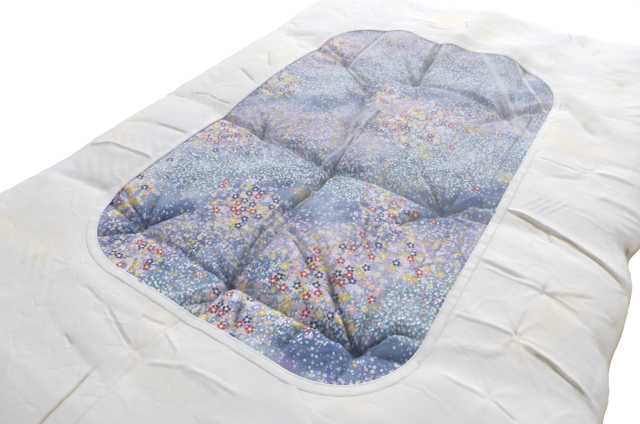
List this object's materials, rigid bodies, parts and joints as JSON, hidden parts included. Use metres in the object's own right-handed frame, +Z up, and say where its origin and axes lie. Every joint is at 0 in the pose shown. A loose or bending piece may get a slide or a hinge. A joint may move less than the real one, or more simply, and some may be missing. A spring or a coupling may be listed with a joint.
{
  "type": "futon mattress cover with its futon",
  "caption": "White cotton futon cover with a bound, see-through window over the tufted printed futon that fills it, lying flat.",
  "frame": {"origin": "on the floor under the middle of the cover", "axes": "+X across the cover, +Y along its length, +Z up from the floor"},
  "size_m": [1.368, 2.1235, 0.1291],
  "materials": {
    "white_cotton": "matte plain-weave cotton, softly creased",
    "tape": "flat sewn cotton tape, two rows of stitches",
    "sheer_net": "fine sheer net, slightly milky",
    "printed_cotton": "smooth printed cotton, small flowers on slate blue"
  },
  "bodies": {
    "root": {"cover_top": "white_cotton", "cover_back": "white_cotton", "window_tape": "tape", "window_net": "sheer_net", "futon": "printed_cotton"}
  },
  "joints": []
}
